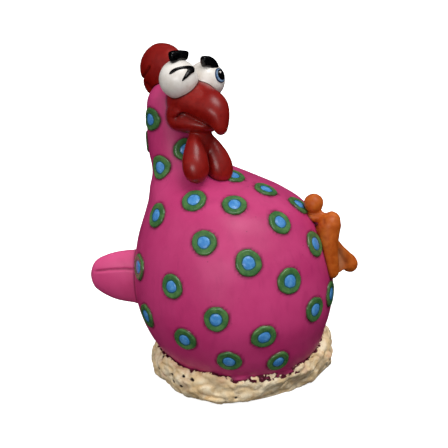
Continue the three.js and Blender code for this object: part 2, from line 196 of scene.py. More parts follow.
def tube_faces(rings, count):
    """Faces of rings joined in order, with a pole before the first and after the last."""
    faces = []
    last = 1 + rings * count
    for j in range(count):
        k = (j + 1) % count
        faces.append((0, 1 + k, 1 + j))
        faces.append((last, last - count + j, last - count + k))
        for r in range(rings - 1):
            a, b = 1 + r * count, 1 + (r + 1) * count
            faces.append((a + j, a + k, b + k, b + j))
    return faces


def loft(rows, side, count=40, rings=48, square=1.0):
    """A smooth limb through rows of x, y, z, half width along side, and half height.
    Its section is an ellipse, or boxier where square is below 1."""
    rows = np.asarray(rows, float)
    steps = np.r_[0, np.cumsum(np.linalg.norm(np.diff(rows[:, :3], axis=0), axis=1))]
    fine = hermite(steps, rows, np.linspace(0, steps[-1], rings))
    centres = fine[:, :3]
    tangents = unit(np.gradient(centres, axis=0))
    high = unit(np.cross(tangents, side))
    wide = unit(np.cross(high, tangents))
    turn = np.linspace(0, 2 * math.pi, count, endpoint=False)
    size = np.maximum(fine[:, 3:5], 0.05)
    across, up = (np.sign(w) * abs(w) ** square for w in (np.cos(turn), np.sin(turn)))
    points = (
        centres[:, None]
        + size[:, None, 0:1] * across[None, :, None] * wide[:, None]
        + size[:, None, 1:2] * up[None, :, None] * high[:, None]
    ).reshape(-1, 3)
    first = centres[0] - tangents[0] * size[0].min() * 0.4
    final = centres[-1] + tangents[-1] * size[-1].min() * 0.4
    return np.vstack([first, points, final]), tube_faces(rings, count)


def ball(centre, radii, count=48, rings=30):
    """A ball, or an egg where radii differ along x, y and z."""
    angles = np.linspace(0, math.pi, rings + 2)[1:-1]
    ring = circle(count)
    points = [np.array([0, 0, -1.0])]
    for a in angles:
        points += list(ring * math.sin(a) + [0, 0, -math.cos(a)])
    points.append(np.array([0, 0, 1.0]))
    return np.array(points) * np.broadcast_to(radii, 3) + centre, tube_faces(rings, count)


def slab(corners, thick):
    """A flat plate between three corners."""
    a, b, c = np.asarray(corners, float)
    off = unit(np.cross(b - a, c - a)) * thick / 2
    points = np.array([a + off, b + off, c + off, a - off, b - off, c - off])
    return points, [(0, 1, 2), (5, 4, 3), (0, 3, 4, 1), (1, 4, 5, 2), (2, 5, 3, 0)]


def sculpt(name, shapes, voxel, smoothing):
    """One skin over shapes that run into each other, with the joins softened."""
    points, faces = [], []
    for shape_points, shape_faces in shapes:
        first = len(points)
        points += list(shape_points)
        faces += [tuple(first + i for i in f) for f in shape_faces]
    obj = make_object(name, points, faces)
    remesh = obj.modifiers.new("remesh", "REMESH")
    remesh.mode = "VOXEL"
    remesh.voxel_size = voxel * MM
    soften = obj.modifiers.new("soften", "SMOOTH")
    soften.factor = 0.5
    soften.iterations = smoothing
    settled = obj.evaluated_get(bpy.context.evaluated_depsgraph_get())
    mesh = bpy.data.meshes.new_from_object(settled)
    rough = obj.data
    obj.modifiers.clear()
    obj.data = mesh
    bpy.data.meshes.remove(rough)
    shade_smooth(obj)
    return obj


# --- tools that work a skin ---

def path_distance(points, path):
    """Distance of each point from a chain of straight lines."""
    nearest = np.full(len(points), np.inf)
    for a, b in zip(path[:-1], path[1:]):
        along = b - a
        t = np.clip(((points - a) @ along) / (along @ along), 0, 1)
        nearest = np.minimum(nearest, np.linalg.norm(points - a - t[:, None] * along, axis=1))
    return nearest


def curve_through(path, count=40):
    """A smooth path of evenly spaced points through a few given ones."""
    path = np.asarray(path, float)
    steps = np.r_[0, np.cumsum(np.linalg.norm(np.diff(path, axis=0), axis=1))]
    return hermite(steps, path, np.linspace(0, steps[-1], count))


def carve(obj, path, width, depth, shade=1.0):
    """Presses a groove along a path. The groove is kept as the attribute cavity, which the materials darken
    as painted shade.
    """
    points, normals = read_points(obj)
    groove = hump(path_distance(points, curve_through(path)), width)
    write_points(obj, points - normals * (groove * depth)[:, None])
    store(obj, "crease_shade", groove * shade)


def swell(obj, centre, reach, height):
    """Raises a soft swelling, or presses a dent where height is below 0."""
    points, normals = read_points(obj)
    rise = hump(np.linalg.norm(points - centre, axis=1), reach)
    write_points(obj, points + normals * (rise * height)[:, None])


def roughen(obj, size, scale, seed):
    """Lumps up to size high and about scale across, as a hand-poured casting has."""
    points, normals = read_points(obj)
    write_points(obj, points + normals * (wave(points, scale, seed) * size)[:, None])


def mark_join_dirt_and_shade(obj, neighbours, reach):
    """Marks the skin next to other pieces, where paint and dirt gather and where the materials paint shade
    at the join.
    """
    tree = tree_of(*neighbours)
    found = [tree.find_nearest(v.co, reach * 4 * MM) for v in obj.data.vertices]
    away = np.array([f[3] / MM if f[3] is not None else reach * 4 for f in found])
    store(obj, "join_dirt_and_shade", hump(away, reach))


# --- small frames that hang on the CAD ---

class Local:
    """A frame in mm with its own x, y and z axes."""

    def __init__(self, origin, x, y, z):
        self.origin = np.asarray(origin, float)
        self.axes = np.array([x, y, z], float)

    def __call__(self, points):
        return np.asarray(points, float) @ self.axes + self.origin

    def shape(self, made):
        """Points and faces made in this frame, moved to where the frame hangs."""
        return self(made[0]), made[1]


def corner(node, which=0):
    """The low corner of a node's box in mm, or the high one."""
    return np.array(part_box(node)[which]) / MM


def fit_sphere(points):
    """Centre and radius of the sphere that most of the points lie on."""
    kept = points
    for _ in range(6):
        rows = np.c_[2 * kept, np.ones(len(kept))]
        answer = np.linalg.lstsq(rows, (kept**2).sum(1), rcond=None)[0]
        centre = answer[:3]
        radius = math.sqrt(answer[3] + centre @ centre)
        error = abs(np.linalg.norm(points - centre, axis=1) - radius)
        kept = points[error <= max(np.percentile(error, 70), 0.02)]
    return centre, radius


eye_right, eye_radius = fit_sphere(node_mesh("eyeball_right")[0])
eye_left, _ = fit_sphere(node_mesh("eyeball_left")[0])
to_left = unit((eye_left - eye_right) * [1, 1, 0])
ahead = np.array([to_left[1], -to_left[0], 0])
head = Local((eye_right + eye_left) / 2, to_left, ahead, [0, 0, 1])  # x to the hen's left, y ahead
foot_frame = Local(corner("foot"), [1, 0, 0], [0, 1, 0], [0, 0, 1])

stopper_low, stopper_high = corner("stopper", 0), corner("stopper", 1)
hub = (stopper_low + stopper_high) / 2  # on the axis of the stopper, its hole and the nest
flange = (stopper_high - stopper_low)[0] / 2  # radius of the stopper's flange
hole_radius = flange - 2.5
barrel = flange - 2.8  # radius of the stopper's barrel


# --- materials ---

def srgb(red, green, blue):
    """A colour from 0 to 255 as it is seen, made linear."""
    seen = [part / 255 for part in (red, green, blue)]
    return (*(c / 12.92 if c <= 0.04045 else ((c + 0.055) / 1.055) ** 2.4 for c in seen), 1)


class Finish:
    """A material in the making. Its textures are fixed to the object, in millimetres."""

    def __init__(self, name, roughness, specular=0.5, coat=0.0, coat_roughness=0.1):
        self.material = bpy.data.materials.new(name)
        self.material.use_nodes = True
        self.tree = self.material.node_tree
        self.shader = self.tree.nodes["Principled BSDF"]
        self.shader.inputs["Roughness"].default_value = roughness
        self.shader.inputs["Specular IOR Level"].default_value = specular
        self.shader.inputs["Coat Weight"].default_value = coat
        self.shader.inputs["Coat Roughness"].default_value = coat_roughness
        place = self.add("ShaderNodeTexCoord").outputs["Object"]
        scaled = self.add("ShaderNodeVectorMath", operation="SCALE")
        scaled.inputs["Scale"].default_value = 1 / MM
        self.tree.links.new(place, scaled.inputs[0])
        self.place = scaled.outputs[0]

    def add(self, kind, **settings):
        """A new node with some of its properties set."""
        node = self.tree.nodes.new(kind)
        for key, value in settings.items():
            setattr(node, key, value)
        return node

    def link(self, value, socket):
        """Feeds a socket from another one, or sets it to a plain value."""
        if isinstance(value, bpy.types.NodeSocket):
            self.tree.links.new(value, socket)
        else:
            socket.default_value = value

    def stretched(self, stretch):
        """The place on the object, scaled by a factor along each axis."""
        node = self.add("ShaderNodeVectorMath", operation="MULTIPLY")
        self.tree.links.new(self.place, node.inputs[0])
        node.inputs[1].default_value = stretch
        return node.outputs[0]

    def noise(self, size, detail=3.0, stretch=(1, 1, 1), bend=0.0):
        """Cloudy noise from 0 to 1 whose lumps are about size mm across."""
        node = self.add("ShaderNodeTexNoise")
        self.tree.links.new(self.stretched(stretch), node.inputs["Vector"])
        node.inputs["Scale"].default_value = 1 / size
        node.inputs["Detail"].default_value = detail
        node.inputs["Distortion"].default_value = bend
        return node.outputs["Fac"]

    def cells(self, size):
        """Distance to the nearest of scattered points about size mm apart."""
        node = self.add("ShaderNodeTexVoronoi", feature="F1")
        self.tree.links.new(self.place, node.inputs["Vector"])
        node.inputs["Scale"].default_value = 1 / size
        return node.outputs["Distance"]

    def kept(self, name):
        """A number that the mesh keeps per vertex."""
        return self.add("ShaderNodeAttribute", attribute_name=name).outputs["Fac"]

    def math(self, operation, a, b=0.0):
        """One step of arithmetic on sockets or plain values."""
        node = self.add("ShaderNodeMath", operation=operation)
        self.link(a, node.inputs[0])
        self.link(b, node.inputs[1])
        return node.outputs[0]

    def between(self, value, lo, hi):
        """0 below lo, 1 above hi."""
        node = self.add("ShaderNodeMapRange", interpolation_type="SMOOTHSTEP")
        self.link(value, node.inputs["Value"])
        node.inputs["From Min"].default_value = lo
        node.inputs["From Max"].default_value = hi
        return node.outputs["Result"]

    def mix(self, share, a, b):
        """Colour a, going over to b as share goes from 0 to 1."""
        node = self.add("ShaderNodeMix", data_type="RGBA")
        self.link(share, node.inputs["Factor"])
        self.link(a, node.inputs[6])
        self.link(b, node.inputs[7])
        return node.outputs[2]

    def part(self, share, value):
        """A share of a value, to hold an effect back."""
        return self.math("MULTIPLY", value, share)

    def colour(self, value):
        self.link(value, self.shader.inputs["Base Color"])

    def gloss(self, value, lo, hi):
        """Roughness that wanders from lo to hi."""
        node = self.add("ShaderNodeMapRange")
        self.link(value, node.inputs["Value"])
        node.inputs["To Min"].default_value = lo
        node.inputs["To Max"].default_value = hi
        self.tree.links.new(node.outputs["Result"], self.shader.inputs["Roughness"])

    def bump(self, heights):
        """Adds fine relief: pairs of a height from 0 to 1 and its depth in mm."""
        normal = None
        for height, depth in heights:
            node = self.add("ShaderNodeBump")
            node.inputs["Strength"].default_value = 1
            node.inputs["Distance"].default_value = depth * MM
            self.link(height, node.inputs["Height"])
            if normal:
                self.tree.links.new(normal, node.inputs["Normal"])
            normal = node.outputs["Normal"]
        self.tree.links.new(normal, self.shader.inputs["Normal"])


def pink_paint(name, base, light, deep):
    """Satin paint with brush strokes, mottling and a few specks."""
    f = Finish(name, 0.5, specular=0.42)
    cloud = f.noise(26, 3)
    stroke = f.noise(5, 4, stretch=(1, 1, 0.35), bend=0.6)
    colour = f.mix(f.between(cloud, 0.35, 0.65), base, light)
    colour = f.mix(f.part(0.35, f.between(stroke, 0.45, 0.75)), colour, deep)
    colour = f.mix(f.part(0.25, f.between(f.noise(1.6, 2), 0.5, 0.8)), colour, light)
    specks = f.math("SUBTRACT", 1.0, f.between(f.cells(6.5), 0.03, 0.06))
    colour = f.mix(f.part(0.5, specks), colour, srgb(74, 12, 36))
    # Darker at the joins and in the creases: painted shade, with some paint and dirt gathered at the joins.
    join_and_crease_shade = f.math("MAXIMUM", f.kept("join_dirt_and_shade"), f.kept("crease_shade"))
    colour = f.mix(f.part(0.8, join_and_crease_shade), colour, srgb(92, 8, 42))
    f.colour(colour)
    f.gloss(f.noise(9, 3), 0.4, 0.54)
    f.bump([(f.noise(7, 3), 0.05), (stroke, 0.03), (f.noise(0.5, 2), 0.006)])
    return f.material


def red_paint():
    """Deep red gloss enamel, darker in the creases and at the joins: painted shade, with some paint and
    dirt at the joins.
    """
    f = Finish("red_enamel", 0.34, specular=0.5, coat=0.05, coat_roughness=0.2)
    cloud = f.noise(8, 4, bend=0.4)
    colour = f.mix(f.between(cloud, 0.35, 0.68), srgb(136, 14, 9), srgb(154, 26, 18))
    colour = f.mix(f.part(0.5, f.between(f.noise(2.2, 3), 0.45, 0.75)), colour, srgb(122, 9, 6))
    # Painted shade in the creases and at the joins.
    join_and_crease_shade = f.math("MAXIMUM", f.kept("join_dirt_and_shade"), f.kept("crease_shade"))
    colour = f.mix(f.part(0.85, join_and_crease_shade), colour, srgb(48, 0, 0))
    f.colour(colour)
    f.gloss(f.noise(5, 3), 0.28, 0.42)
    f.bump([(f.noise(3.5, 3), 0.05), (f.noise(0.7, 2), 0.01)])
    return f.material


def white_paint():
    """Off-white enamel, with a dark line where red paint runs up to it, and painted shade where it meets
    the comb and beak.
    """
    f = Finish("eye_white_enamel", 0.3, specular=0.45, coat=0.2, coat_roughness=0.15)
    colour = f.mix(f.between(f.noise(6, 4), 0.35, 0.7), srgb(248, 243, 236), srgb(234, 226, 216))
    colour = f.mix(f.part(0.35, f.between(f.noise(1.4, 3), 0.5, 0.8)), colour, srgb(214, 207, 194))
    # A dark red line where the eye meets the comb and beak: red paint run up to it, and painted shade.
    colour = f.mix(f.between(f.kept("join_dirt_and_shade"), 0.4, 0.85), colour, srgb(104, 12, 10))
    f.colour(colour)
    f.gloss(f.noise(4, 3), 0.22, 0.42)
    f.bump([(f.noise(3, 3, stretch=(1, 1, 0.5)), 0.05), (f.noise(0.6, 3), 0.015)])
    return f.material


def black_paint():
    """Thick black gloss for the brows, the wink and the pupil."""
    f = Finish("black_enamel", 0.26, specular=0.3, coat=0.08, coat_roughness=0.1)
    f.colour(f.mix(f.between(f.noise(2, 3), 0.4, 0.7), srgb(2, 2, 3), srgb(12, 12, 14)))
    f.gloss(f.noise(1.5, 3), 0.14, 0.4)
    f.bump([(f.noise(1.4, 3), 0.06), (f.noise(0.4, 2), 0.01)])
    return f.material


def iris_paint():
    """Blue with a darker rim, streaked outwards."""
    f = Finish("iris_enamel", 0.2, coat=0.4, coat_roughness=0.06)
    colour = f.mix(f.between(f.noise(0.8, 3), 0.35, 0.7), srgb(108, 148, 194), srgb(176, 200, 224))
    rim = f.math("ADD", f.kept("rim"), f.part(0.12, f.noise(0.6, 2)))
    colour = f.mix(f.between(rim, 0.72, 0.98), colour, srgb(30, 58, 92))
    f.colour(colour)
    f.bump([(f.noise(0.7, 3), 0.03)])
    return f.material


def spot_paint():
    """A green ring round a blue button, the colours brushed on wet and a little mixed."""
    f = Finish("spot_enamel", 0.3, specular=0.4, coat=0.12, coat_roughness=0.14)
    wander = f.math("MULTIPLY", f.math("SUBTRACT", f.noise(4, 2, bend=0.3), 0.5), 0.16)
    out = f.math("ADD", f.kept("rim"), wander)
    green = f.mix(f.between(f.noise(5, 3, bend=0.5), 0.35, 0.7), srgb(60, 106, 58), srgb(86, 130, 72))
    green = f.mix(f.part(0.3, f.between(f.noise(1.4, 3), 0.5, 0.8)), green, srgb(50, 104, 60))
    blue = f.mix(f.between(f.noise(2.6, 2, bend=0.4), 0.4, 0.7), srgb(66, 134, 202), srgb(94, 160, 218))
    seam = f.mix(f.between(out, 0.51, 0.6), srgb(34, 86, 88), green)
    colour = f.mix(f.between(out, 0.44, 0.49), blue, seam)
    # Dark maroon round the outer border, where the disc meets the body: painted shade.
    colour = f.mix(f.part(0.85, f.between(out, 0.94, 1.03)), colour, srgb(88, 26, 44))
    f.colour(colour)
    f.gloss(f.noise(2.4, 3), 0.2, 0.36)
    f.bump([(f.noise(2.2, 3), 0.025), (f.noise(0.5, 2), 0.006)])
    return f.material


def orange_paint():
    """Burnt orange, with a pale painted highlight on the web, and brown painted shade in the hollows and
    where the foot meets the body.
    """
    f = Finish("foot_enamel", 0.4, specular=0.3)
    colour = f.mix(f.between(f.noise(4, 4, bend=0.5), 0.35, 0.68), srgb(182, 82, 18), srgb(202, 102, 32))
    # Pale painted highlight on the web.
    colour = f.mix(f.part(0.8, f.kept("web")), colour, srgb(206, 140, 100))
    # Brown painted shade in the hollows and at the joins.
    join_and_crease_shade = f.math("MAXIMUM", f.kept("join_dirt_and_shade"), f.kept("crease_shade"))
    colour = f.mix(f.part(0.75, join_and_crease_shade), colour, srgb(112, 34, 12))
    f.colour(colour)
    f.gloss(f.noise(2.5, 3), 0.34, 0.52)
    f.bump([(f.noise(2, 3), 0.06), (f.noise(0.6, 2), 0.012)])
    return f.material


def clay():
    """Cream clay: ochre stains, smears of pink, folds darkened with painted shade, small pits filled with
    black painted shade, and a rough dark rim where the body sits, of pink paint bled onto it with painted
    shade.
    """
    f = Finish("nest_clay", 0.7, specular=0.35)
    colour = f.mix(f.between(f.noise(7, 4, bend=0.7), 0.36, 0.64), srgb(236, 206, 158), srgb(254, 236, 202))
    stain = f.noise(4.5, 4, stretch=(1, 1, 1.6), bend=1.0)
    colour = f.mix(f.part(0.6, f.between(stain, 0.54, 0.72)), colour, srgb(206, 162, 104))
    colour = f.mix(f.part(0.45, f.between(f.noise(9, 3), 0.56, 0.7)), colour, srgb(226, 178, 152))
    colour = f.mix(f.part(0.35, f.between(f.noise(2.0, 4), 0.56, 0.74)), colour, srgb(178, 160, 120))
    # Brown painted shade in the folds.
    colour = f.mix(f.part(0.7, f.kept("crease_shade")), colour, srgb(150, 116, 72))
    # Black painted shade in the pits.
    pits = f.between(f.kept("pit_shade"), 0.25, 0.7)
    colour = f.mix(pits, colour, srgb(30, 10, 8))
    # A rough dark magenta rim where the body sits: pink paint bled onto the clay, with painted shade.
    ragged_bleed_and_shade = f.math("MULTIPLY", f.kept("join_dirt_and_shade"), f.between(f.noise(2.8, 3, bend=0.6), 0.32, 0.68))
    colour = f.mix(f.between(ragged_bleed_and_shade, 0.3, 0.46), colour, srgb(84, 8, 34))
    f.colour(colour)
    f.gloss(f.noise(3, 3), 0.5, 0.85)
    f.bump([(f.noise(2.6, 5, bend=0.6), 0.35), (f.noise(0.8, 4), 0.08)])
    return f.material


def rubber():
    """Dull black rubber with a little bloom."""
    f = Finish("stopper_rubber", 0.75, specular=0.3)
    f.colour(f.mix(f.between(f.noise(1.2, 4), 0.4, 0.7), srgb(30, 29, 31), srgb(52, 50, 51)))
    f.gloss(f.noise(1, 3), 0.6, 0.85)
    f.bump([(f.noise(0.4, 3), 0.02)])
    return f.material


def floor_paper():
    """White paper with a little light of its own, so that no shadow on it is heavy."""
    f = Finish("floor_paper", 0.9, specular=0.1)
    f.colour(f.mix(f.noise(40, 2), srgb(250, 250, 250), srgb(255, 255, 255)))
    f.shader.inputs["Emission Color"].default_value = (1, 1, 1, 1)
    f.shader.inputs["Emission Strength"].default_value = 0.75
    return f.material


body_pink = pink_paint("body_paint", srgb(194, 48, 112), srgb(204, 60, 122), srgb(176, 40, 102))
# A lighter copy of the body's pink for the wings: painted light, for the brighter light on their faces.
wing_pink_lit = pink_paint("wing_paint_lit", srgb(214, 66, 126), srgb(224, 80, 138), srgb(198, 54, 114))
red = red_paint()
white = white_paint()
black = black_paint()


# --- the body casting ---

def ellipse_of(ring):
    """Centre and radii of the upright ellipse that a ring of points lies on."""
    middle = ring[:, :2].mean(0)
    x, y = (ring[:, :2] - middle).T
    for _ in range(3):
        a, b, c, d = np.linalg.lstsq(np.c_[x * x, y * y, x, y], np.ones(len(x)), rcond=None)[0]
        centre = np.array([-c / (2 * a), -d / (2 * b)])
        size = 1 + a * centre[0] ** 2 + b * centre[1] ** 2
        radii = np.sqrt(size / np.array([a, b]))
        off = abs(np.hypot((x - centre[0]) / radii[0], (y - centre[1]) / radii[1]) - 1)
        x, y = x[off < 0.004], y[off < 0.004]
    return *(centre + middle), *radii


def body_stations():
    """Height, then centre and radii, of the rings in the CAD body's outer skin."""
    points = node_mesh("body_shell")[0]
    heights = np.round(points[:, 2], 2)
    found = []
    for z in np.unique(heights):
        ring = np.unique(np.round(points[heights == z], 2), axis=0)
        if len(ring) > 26:
            found.append((z, *ellipse_of(ring)))
    return np.array(found)


BODY = body_stations()
body_foot, body_top = BODY[0, 0], BODY[-1, 0]


def body_rings(heights, inset=0.0):
    """Rings of the body's skin at some heights, taken in by inset."""
    around = circle(BODY_COUNT)
    rows = hermite(BODY[:, 0], BODY[:, 1:], np.asarray(heights, float))
    return [
        around * [rx - inset, ry - inset, 0] + [cx, cy, z]
        for z, (cx, cy, rx, ry) in zip(heights, rows)
    ]


def hole_ring(z):
    """A ring of the hole that the stopper closes, a little wider than the barrel."""
    return circle(BODY_COUNT) * hole_radius + [hub[0], hub[1], z]


def make_body():
    """One closed skin: down the inside, out through the hole, across the bottom and up the outside."""
    floor_level = body_foot + WALL
    inside = body_rings(np.linspace(HOLLOW_TOP, floor_level + 1, 40), inset=WALL)
    underside = body_rings([body_foot])[0]
    low = hole_ring(body_foot)
    outer = body_rings(np.r_[  # closest together at the foot and the crown, where the skin turns in
        np.arange(body_foot, 14, 0.5),
        np.arange(14, 106, 1.1),
        np.arange(106, 152, 0.8),
        np.arange(152, body_top, 0.35),
    ])
    rings = [*inside, hole_ring(floor_level), hole_ring(body_foot + 0.4), low]
    rings += [low + (underside - low) * t for t in (0.06, 0.4, 0.8, 0.97)]
    first_outer = len(rings)
    rings += outer
    poles = [rings[0].mean(0) + [0, 0, 0.5], outer[-1].mean(0) + [0, 0, 0.5]]
    points = np.vstack([poles[0], *rings, poles[1]])
    body = make_object("body_casting", points, tube_faces(len(rings), BODY_COUNT))
    points, normals = read_points(body)
    outside = np.arange(len(points)) > first_outer * BODY_COUNT
    sag = 0.22 * wave(points, 17, 1) + 0.07 * wave(points, 6, 2)
    shoulder_dip = 1.3 * hump(np.linalg.norm(points - [29, -13, 107], axis=1), 19)
    lift = (sag * step(6, 12, points[:, 2]) - shoulder_dip) * outside
    write_points(body, points + normals * lift[:, None])
    return body


# --- the spots ---

SPOT_PROFILE = np.array([  # share of the radius, height in mm
    [0.0, 1.12], [0.15, 1.11], [0.28, 1.06], [0.37, 0.96], [0.43, 0.81], [0.46, 0.7], [0.49, 0.68],
    [0.55, 0.77], [0.64, 0.86], [0.74, 0.94], [0.83, 1.04], [0.89, 1.03], [0.935, 0.86], [0.97, 0.58],
    [1.0, 0.24], [1.02, -0.4],
])


def make_spot(index, node, skin):
    """A disc that follows the skin: a rounded ring with a button inside."""
    points = node_mesh(node)[0]
    middle = points.mean(0)
    spread = np.linalg.svd(points - middle, full_matrices=False)[2]
    axis = hermite(BODY[:, 0], BODY[:, 1:3], middle[2:3])[0]
    normal = spread[2] * np.sign(spread[2][:2] @ (middle[:2] - axis))
    level = unit(np.cross([0, 0, 1], normal))
    steep = np.cross(normal, level)
    reach = np.percentile(abs((points - middle) @ level), 98)
    turn = np.linspace(0, 2 * math.pi, SPOT_COUNT, endpoint=False)
    uneven = (
        1 + 0.03 * np.sin(2 * turn + index) + 0.018 * np.sin(3 * turn + 2.1 * index)
        + 0.01 * np.sin(7 * turn + index)
    )
    made, rim = [], []
    for share, height in SPOT_PROFILE[::-1]:
        for a, u in zip(turn, uneven if share else uneven[:1]):
            flat = middle + (level * math.cos(a) + steep * math.sin(a)) * reach * share * u
            start = Vector(flat + normal * 6) * MM
            hit = skin.ray_cast(start, Vector(-normal))[0] or skin.find_nearest(start)[0]
            made.append(np.array(hit) / MM + normal * height)
            rim.append(share)
    under = middle - normal * 2.5
    points = np.vstack([under, made])
    spot = make_object(f"dot_{index:02d}", points, tube_faces(len(SPOT_PROFILE) - 1, SPOT_COUNT))
    store(spot, "rim", np.r_[1, rim])
    roughen(spot, 0.035, 3, index)
    return spot


# --- wings, comb, beak, eyes and foot ---

def make_wing(node):
    """A paddle with one long feather line scored across both faces."""
    points = node_mesh(node)[0]
    middle = points.mean(0)
    out = np.r_[np.linalg.svd((points - middle)[:, :2], full_matrices=False)[2][0], 0]
    out *= np.sign(out[:2] @ (middle - hub)[:2])
    thick = np.cross([0, 0, 1], out)
    tip = max(points @ out) * out
    across = (max(points @ thick) + min(points @ thick)) / 2 * thick
    level = [0, 0, (corner(node)[2] + corner(node, 1)[2]) / 2]
    frame_here = Local(tip + across + level, thick, out, [0, 0, 1])
    rows = [
        [0, -38, -1, 6.4, 15.4], [0, -30, -0.8, 6.9, 15.6], [0, -22.6, -0.5, 6.9, 15.1],
        [0, -14.6, -0.2, 6.4, 13.7], [0, -7.6, 0, 5.3, 11], [0, -3, 0, 4, 7.7],
        [0, -1.2, 0, 2.4, 4.6], [0, -0.4, 0, 0.8, 1.6],
    ]
    wing = sculpt(node + "_cast", [frame_here.shape(loft(rows, [1, 0, 0], rings=60))], 0.6, 4)
    points, normals = read_points(wing)
    here = (points - frame_here.origin) @ frame_here.axes.T
    line = np.interp(here[:, 1], [-34, -20, -12, -5, -2], [5.2, 5.6, 4.9, 3.6, 2.8])
    off = here[:, 2] - line
    face = step(0.2, 0.6, abs(normals @ thick)) * step(-2, -5, here[:, 1])
    groove = hump(off, 0.6) * face
    lip = np.where(off < 0, np.exp(off / 4), 0) * step(0, -0.8, off) * face
    seam = hump(here[:, 1] + 25.6, 0.8)
    write_points(wing, points + normals * (0.5 * lip - 0.75 * groove + 0.3 * seam)[:, None])
    # The groove is kept for the painted shade in it.
    store(wing, "crease_shade", groove * 0.7)
    roughen(wing, 0.16, 9, 3)
    return wing


def make_comb():
    """Two fat lobes on the crown, folded where they meet."""
    crown = ball([0, -25.2, 3.9], [10.2, 15.4, 13.3], 64, 44)
    nape = ball([0, -30.3, -3.4], [7.8, 7, 7.7], 48, 30)
    brow_lobe = ball([0, -15, 2], [7.4, 7, 7.5], 40, 24)
    comb = sculpt("comb_cast", [head.shape(s) for s in (crown, nape, brow_lobe)], 0.6, 5)
    for side in (-1, 1):
        fold = [[side * 1, -38.4, -3], [side * 5.4, -36, -2.2], [side * 8.6, -31.6, -0.4],
                [side * 10, -27, 2], [side * 10.2, -23.7, 5]]
        carve(comb, head(fold), 0.9, 0.9, 0.7)
        crease = [[side * 6.6, -34, -6], [side * 8, -31, -4], [side * 8.2, -27.5, -3.4]]
        carve(comb, head(crease), 0.7, 0.35, 0.4)
    roughen(comb, 0.22, 7, 4)
    return comb


def wattle(side, swing, drop):
    """A pear that hangs to one side by swing and lower than the other by drop."""
    rows = []
    for y, z, wide, high, reach in (
        (4.9, -24.4, 2.4, 2.4, 0.25), (6.9, -28.4, 3.6, 3.6, 0.5), (9.9, -34.6, 5.8, 5.6, 0.8),
        (12.3, -40.8, 7, 6.4, 1), (13.5, -45.6, 6.3, 5.8, 1.04), (13.7, -48.6, 4, 3.8, 1.03),
        (13.7, -49.9, 1.4, 1.4, 1.02),
    ):
        rows.append([side * swing * reach, y, z - drop * reach, wide, high])
    return loft(rows, [1, 0, 0], 44, 50)


def make_beak():
    """A hooked upper beak over a full lower one, with both wattles on one root."""
    upper = loft([
        [0, -9.5, -13.2, 9, 8.4], [0, -7.6, -12.6, 10.8, 10.2], [0, -1.1, -10.9, 12.2, 10.6],
        [0, 5.9, -9.8, 12, 9.8], [0, 12.4, -11.1, 10.3, 8.9], [0, 17.7, -14.2, 7.9, 7.2],
        [0, 20.8, -17.8, 5.6, 5.4], [0, 22, -22, 3.8, 3.8], [0, 21.7, -24.3, 2.5, 2.5],
        [0, 21.4, -25.2, 0.9, 0.9],
    ], [1, 0, 0], 64, 80)
    lower = loft([
        [0, -8.1, -19.8, 10, 6], [0, -2.1, -20.2, 11.5, 6.6], [0, 4.9, -20.4, 10.9, 6.4],
        [0, 10.9, -20.8, 8.6, 5], [0, 15.4, -21.2, 5.2, 3.4], [0, 17.6, -21.4, 1.6, 1.2],
    ], [1, 0, 0], 56, 60)
    root = loft([
        [0, 3, -21, 7.4, 5], [0, 5.4, -25, 6, 5.2], [0, 7.6, -29, 6.2, 4.6], [0, 9.2, -33, 6.2, 3.4],
        [0, 10.2, -36.5, 2.4, 1.6],
    ], [1, 0, 0], 36, 30)
    cheeks = [ball([side * 7.4, -2.6, -17.6], [5.8, 6.8, 7.8], 44, 28) for side in (-1, 1)]
    cheeks += [ball([side * 8.4, -0.2, -15.4], [4.2, 6, 5.4], 36, 22) for side in (-1, 1)]
    wattles = [wattle(-1, swing=8.2, drop=0), wattle(1, swing=7.2, drop=2)]
    parts = [upper, lower, root, *cheeks, *wattles]
    beak = sculpt("beak_cast", [head.shape(p) for p in parts], 0.55, 9)
    for side in (-1, 1):
        lip = curve_through(head([
            [side * 11.9, 2.2, -17.6], [side * 11.4, 3.8, -16.2], [side * 10.4, 5.6, -15.6],
            [side * 9.4, 8.6, -16.3], [side * 7.8, 12, -17.8], [side * 6, 14.9, -19.3],
            [side * 4, 16.8, -20.9], [side * 1, 17.4, -22.4],
        ]))
        open_mouth(beak, lip, side)
    swell(beak, head([0, 20.4, -9.5]), 8, 0.5)
    for side in (-1, 1):
        swell(beak, head([side * 7.5, 11.5, -4.6]), 7, -1.9)
        swell(beak, head([side * 10, 1.5, -21.5]), 5, 1)
    roughen(beak, 0.14, 6, 5)
    return beak


def open_mouth(beak, lip, side):
    """Cuts the mouth line, with the upper lip hanging over it and a thin lower lip inside."""
    points, normals = read_points(beak)
    away = path_distance(points, lip)
    here = (points - head.origin) @ head.axes.T
    sparse = lip[::3]
    nearest = np.argmin(np.linalg.norm(points[:, None] - sparse, axis=2), axis=1)
    above = points[:, 2] - sparse[nearest][:, 2]
    this_side = here[:, 0] * side > -1
    overhang = hump(away, 3.2) * step(-0.3, 1.2, above) * this_side
    recess = hump(away, 2.6) * step(0.4, -0.8, above) * this_side
    slit = hump(away, 0.75) * this_side
    write_points(beak, points + normals * (0.6 * overhang - 0.6 * recess - 1.1 * slit)[:, None])
    # The slit and the recess under the lip are kept for the painted shade in them.
    store(beak, "crease_shade", np.maximum(slit, 0.35 * recess))


def make_eye(name, centre, seed):
    """A whole ball, a little uneven, bedded between the comb and the beak."""
    eye = make_object(name, *ball(centre, eye_radius, 96, 64))
    roughen(eye, 0.1, 4.5, seed)
    return eye


def make_brow(name, rows):
    """A short boxy bar laid over an eye."""
    brow = sculpt(name, [head.shape(loft(rows, [0, 1, 0], 32, 40, square=0.72))], 0.35, 4)
    roughen(brow, 0.12, 2.4, 8)
    return brow


